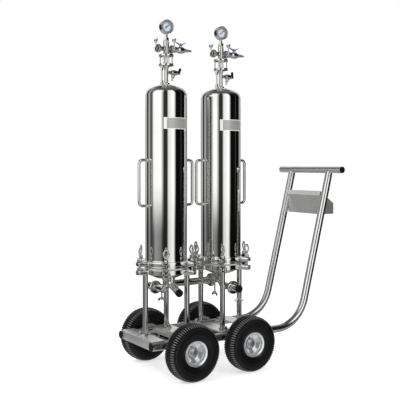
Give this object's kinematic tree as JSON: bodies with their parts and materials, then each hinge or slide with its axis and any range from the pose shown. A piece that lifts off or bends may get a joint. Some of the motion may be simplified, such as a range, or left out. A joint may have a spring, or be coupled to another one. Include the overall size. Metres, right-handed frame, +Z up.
{
  "type": "filter cart",
  "caption": "Trolley with tall polished cartridge filter housings, swing bolt closures, drain pipework, vent valves, gauges, a bent tube handle and an open tray.",
  "frame": {"origin": "on the floor, at the middle of the outline's length and width", "axes": "+X along the cart towards the handle, +Y across it to the far side, +Z up"},
  "size_m": [1.111, 0.525, 1.6627],
  "materials": {
    "tube_steel": "satin stainless tube",
    "black_plastic": "moulded, slightly glossy",
    "sheet_steel": "satin stainless sheet",
    "fitting_steel": "machined and polished stainless",
    "axle_steel": "plain bright bar",
    "rim_grey": "silver grey paint on pressed steel",
    "tyre_rubber": "black moulded rubber, dull",
    "polished_steel": "mirror polished stainless",
    "gasket_white": "white sealing ring, dull",
    "filter_medium": "wound fibre cartridge",
    "clear_glass": "clear",
    "lever_blue": "dipped vinyl, glossy",
    "dial_white": "matt white enamel",
    "pointer_black": "matt black"
  },
  "bodies": {
    "cart": {"frame_near": "tube_steel", "frame_far": "tube_steel", "handlebar": "tube_steel", "tube_caps": "black_plastic", "deck_plates": "sheet_steel", "tray": "sheet_steel", "frame_bolts": "fitting_steel", "axles": "axle_steel", "axle_nuts": "fitting_steel", "base_1": "polished_steel", "base_2": "polished_steel", "legs": "polished_steel", "gaskets": "gasket_white", "bell_1": "polished_steel", "bell_2": "polished_steel", "nameplates": "sheet_steel", "pivot_pins": "fitting_steel", "cartridges": "filter_medium", "outlet_bends": "polished_steel", "cross_pipe": "polished_steel", "inlet_bends": "polished_steel", "pipe_clamps": "fitting_steel", "pipe_caps": "black_plastic", "stems": "fitting_steel", "bleed_tubes": "fitting_steel", "sight_frames": "fitting_steel", "sight_glasses": "clear_glass", "cross_fittings": "fitting_steel", "top_clamps": "fitting_steel", "hose_valves": "fitting_steel", "sample_valves": "fitting_steel", "gauge_cases": "fitting_steel", "gauge_dials": "dial_white"},
    "wheel_1": {"rim_1": "rim_grey", "tyre_1": "tyre_rubber"},
    "wheel_2": {"rim_2": "rim_grey", "tyre_2": "tyre_rubber"},
    "wheel_3": {"rim_3": "rim_grey", "tyre_3": "tyre_rubber"},
    "wheel_4": {"rim_4": "rim_grey", "tyre_4": "tyre_rubber"},
    "bolt_a1": {"bolt_a1": "fitting_steel"},
    "bolt_a2": {"bolt_a2": "fitting_steel"},
    "bolt_a3": {"bolt_a3": "fitting_steel"},
    "bolt_a4": {"bolt_a4": "fitting_steel"},
    "bolt_a5": {"bolt_a5": "fitting_steel"},
    "bolt_a6": {"bolt_a6": "fitting_steel"},
    "bolt_b1": {"bolt_b1": "fitting_steel"},
    "bolt_b2": {"bolt_b2": "fitting_steel"},
    "bolt_b3": {"bolt_b3": "fitting_steel"},
    "bolt_b4": {"bolt_b4": "fitting_steel"},
    "bolt_b5": {"bolt_b5": "fitting_steel"},
    "bolt_b6": {"bolt_b6": "fitting_steel"},
    "lever_1": {"lever_1": "lever_blue"},
    "lever_2": {"lever_2": "lever_blue"},
    "sample_lever_1": {"sample_lever_1": "black_plastic"},
    "sample_lever_2": {"sample_lever_2": "black_plastic"},
    "pointer_1": {"pointer_1": "pointer_black"},
    "pointer_2": {"pointer_2": "pointer_black"}
  },
  "joints": [
    {"name": "wheel_1_spin", "type": "hinge", "parent": "cart", "child": "wheel_1", "pos_m": [-0.37846, -0.22, 0.13], "axis": [0, 1, 0], "continuous": true},
    {"name": "wheel_2_spin", "type": "hinge", "parent": "cart", "child": "wheel_2", "pos_m": [-0.05846, -0.22, 0.13], "axis": [0, 1, 0], "continuous": true},
    {"name": "wheel_3_spin", "type": "hinge", "parent": "cart", "child": "wheel_3", "pos_m": [-0.37846, 0.22, 0.13], "axis": [0, 1, 0], "continuous": true},
    {"name": "wheel_4_spin", "type": "hinge", "parent": "cart", "child": "wheel_4", "pos_m": [-0.05846, 0.22, 0.13], "axis": [0, 1, 0], "continuous": true},
    {"name": "bolt_a1_swing", "type": "hinge", "parent": "cart", "child": "bolt_a1", "pos_m": [-0.24746, 0, 0.474], "axis": [0, 1, 0], "range_deg": [0, 4.5]},
    {"name": "bolt_a2_swing", "type": "hinge", "parent": "cart", "child": "bolt_a2", "pos_m": [-0.31796, 0.12211, 0.474], "axis": [-0.866, 0.5, 0], "range_deg": [0, 100]},
    {"name": "bolt_a3_swing", "type": "hinge", "parent": "cart", "child": "bolt_a3", "pos_m": [-0.45896, 0.12211, 0.474], "axis": [-0.866, -0.5, 0], "range_deg": [0, 100]},
    {"name": "bolt_a4_swing", "type": "hinge", "parent": "cart", "child": "bolt_a4", "pos_m": [-0.52946, 0, 0.474], "axis": [0, -1, 0], "range_deg": [0, 100]},
    {"name": "bolt_a5_swing", "type": "hinge", "parent": "cart", "child": "bolt_a5", "pos_m": [-0.45896, -0.12211, 0.474], "axis": [0.866, -0.5, 0], "range_deg": [0, 100]},
    {"name": "bolt_a6_swing", "type": "hinge", "parent": "cart", "child": "bolt_a6", "pos_m": [-0.31796, -0.12211, 0.474], "axis": [0.866, 0.5, 0], "range_deg": [0, 100]},
    {"name": "bolt_b1_swing", "type": "hinge", "parent": "cart", "child": "bolt_b1", "pos_m": [0.06554, 0, 0.474], "axis": [0, 1, 0], "range_deg": [0, 100]},
    {"name": "bolt_b2_swing", "type": "hinge", "parent": "cart", "child": "bolt_b2", "pos_m": [-0.00496, 0.12211, 0.474], "axis": [-0.866, 0.5, 0], "range_deg": [0, 100]},
    {"name": "bolt_b3_swing", "type": "hinge", "parent": "cart", "child": "bolt_b3", "pos_m": [-0.14596, 0.12211, 0.474], "axis": [-0.866, -0.5, 0], "range_deg": [0, 100]},
    {"name": "bolt_b4_swing", "type": "hinge", "parent": "cart", "child": "bolt_b4", "pos_m": [-0.21646, 0, 0.474], "axis": [0, -1, 0], "range_deg": [0, 4.5]},
    {"name": "bolt_b5_swing", "type": "hinge", "parent": "cart", "child": "bolt_b5", "pos_m": [-0.14596, -0.12211, 0.474], "axis": [0.866, -0.5, 0], "range_deg": [0, 100]},
    {"name": "bolt_b6_swing", "type": "hinge", "parent": "cart", "child": "bolt_b6", "pos_m": [-0.00496, -0.12211, 0.474], "axis": [0.866, 0.5, 0], "range_deg": [0, 100]},
    {"name": "lever_1_turn", "type": "hinge", "parent": "cart", "child": "lever_1", "pos_m": [-0.30846, 0, 1.55126], "axis": [0, 0, 1], "range_deg": [0, 90]},
    {"name": "lever_2_turn", "type": "hinge", "parent": "cart", "child": "lever_2", "pos_m": [0.00454, 0, 1.55126], "axis": [0, 0, 1], "range_deg": [0, 90]},
    {"name": "sample_lever_1_turn", "type": "hinge", "parent": "cart", "child": "sample_lever_1", "pos_m": [-0.31946, 0, 1.41426], "axis": [1, 0, 0], "range_deg": [-40, 50]},
    {"name": "sample_lever_2_turn", "type": "hinge", "parent": "cart", "child": "sample_lever_2", "pos_m": [-0.00646, 0, 1.41426], "axis": [1, 0, 0], "range_deg": [0, 90]},
    {"name": "pointer_1_turn", "type": "hinge", "parent": "cart", "child": "pointer_1", "pos_m": [-0.38846, -0.008, 1.62926], "axis": [0, 1, 0], "range_deg": [-183, 87]},
    {"name": "pointer_2_turn", "type": "hinge", "parent": "cart", "child": "pointer_2", "pos_m": [-0.07546, -0.008, 1.62926], "axis": [0, 1, 0], "range_deg": [-183, 87]}
  ]
}
